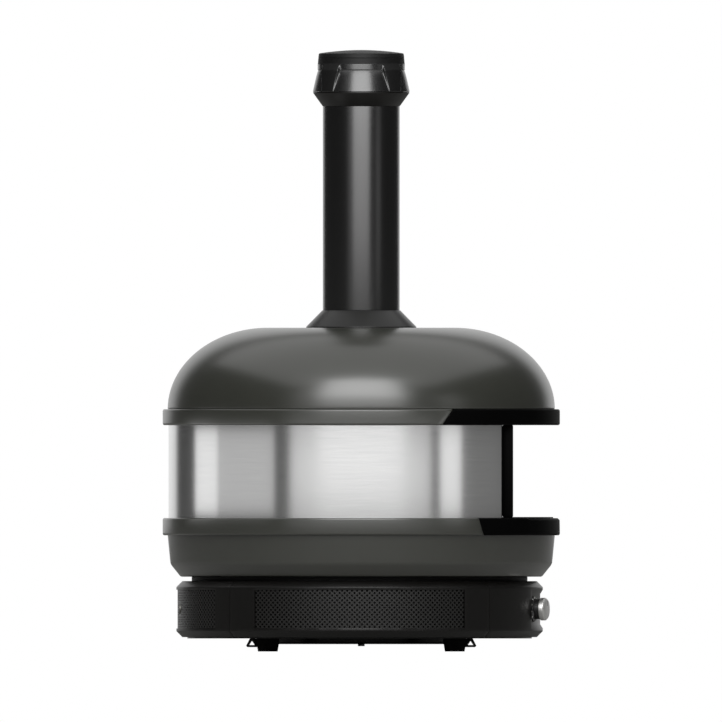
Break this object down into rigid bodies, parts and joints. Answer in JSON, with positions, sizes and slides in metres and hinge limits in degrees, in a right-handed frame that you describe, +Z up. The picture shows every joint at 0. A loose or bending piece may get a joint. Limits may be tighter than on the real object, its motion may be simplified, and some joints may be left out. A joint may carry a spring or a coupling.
{
  "type": "pizza oven",
  "caption": "Round free-standing gas pizza oven with a drum base, an open front mouth in a brushed steel wall, a domed top and a tall capped chimney.",
  "frame": {"origin": "on the ground under the middle of the rims, at the height of the feet's soles", "axes": "+Z up along the chimney, -Y out of the mouth, +X to the right of a person facing the mouth"},
  "size_m": [0.595, 0.595, 0.901],
  "materials": {
    "olive_enamel": "satin olive-charcoal coat",
    "black_coat": "satin black coat",
    "perforated_black": "satin black coat on a perforated sheet",
    "wall_steel": "brushed round the wall",
    "liner_steel": "dull rolled sheet",
    "zinc_steel": "zinc plated",
    "valve_alloy": "as cast",
    "brass": "turned",
    "knob_metal": "satin",
    "knob_black": "moulded",
    "foot_rubber": "moulded",
    "ceramic_wool": "pressed fibre",
    "baking_stone": "fired, fine grained",
    "white_ceramic": "glazed"
  },
  "bodies": {
    "oven_body": {"lower_bowl": "olive_enamel", "lower_rim": "olive_enamel", "upper_rim": "olive_enamel", "dome_shell": "olive_enamel", "collar": "olive_enamel", "foot_brackets": "black_coat", "base_plate": "black_coat", "under_pan": "black_coat", "front_panel": "black_coat", "left_panel": "black_coat", "right_panel": "black_coat", "rear_panel": "black_coat", "vent_baffle": "black_coat", "control_panel": "black_coat", "neck_ring": "black_coat", "lower_lip": "black_coat", "upper_lip": "black_coat", "lower_deck": "black_coat", "upper_deck": "black_coat", "mouth_frame": "black_coat", "left_grille": "perforated_black", "right_grille": "perforated_black", "rear_grille": "perforated_black", "wall_band": "wall_steel", "inner_wall": "liner_steel", "left_cheek": "liner_steel", "right_cheek": "liner_steel", "mouth_plate": "liner_steel", "inner_dome": "liner_steel", "flue_throat": "liner_steel", "stone_tray": "liner_steel", "burner": "liner_steel", "burner_posts": "liner_steel", "foot_screws": "zinc_steel", "pan_bolt": "zinc_steel", "neck_screws": "zinc_steel", "inlet_bracket": "zinc_steel", "supply_pipe": "zinc_steel", "feed_pipe": "zinc_steel", "gas_valve": "valve_alloy", "gas_inlet": "brass", "inlet_nut": "brass", "knob_bezel": "knob_black", "foot_pads": "foot_rubber", "floor_insulation": "ceramic_wool", "wall_insulation": "ceramic_wool", "dome_insulation": "ceramic_wool", "pizza_stone": "baking_stone", "igniter": "white_ceramic"},
    "chimney": {"flue_tube": "black_coat"},
    "rain_cap": {"cap_base": "black_coat", "cap_struts": "black_coat", "cap_hood": "black_coat", "cap_lid": "black_coat"},
    "plunger": {"valve_plunger": "brass"},
    "knob": {"gas_knob": "knob_metal", "knob_hub": "knob_black", "valve_spindle": "brass"}
  },
  "joints": [
    {"name": "chimney_lift", "type": "slide", "parent": "oven_body", "child": "chimney", "axis": [0, 0, 1], "range_m": [0, 0.06]},
    {"name": "cap_lift", "type": "slide", "parent": "chimney", "child": "rain_cap", "axis": [0, 0, 1], "range_m": [0, 0.05]},
    {"name": "knob_push", "type": "slide", "parent": "oven_body", "child": "plunger", "axis": [0.2756, 0.9613, 0], "range_m": [0, 0.004], "stiffness_N_per_m": 800},
    {"name": "knob_turn", "type": "hinge", "parent": "plunger", "child": "knob", "pos_m": [-0.07856, -0.27146, 0.0635], "axis": [-0.2756, -0.9613, 0], "range_deg": [0, 180]}
  ]
}
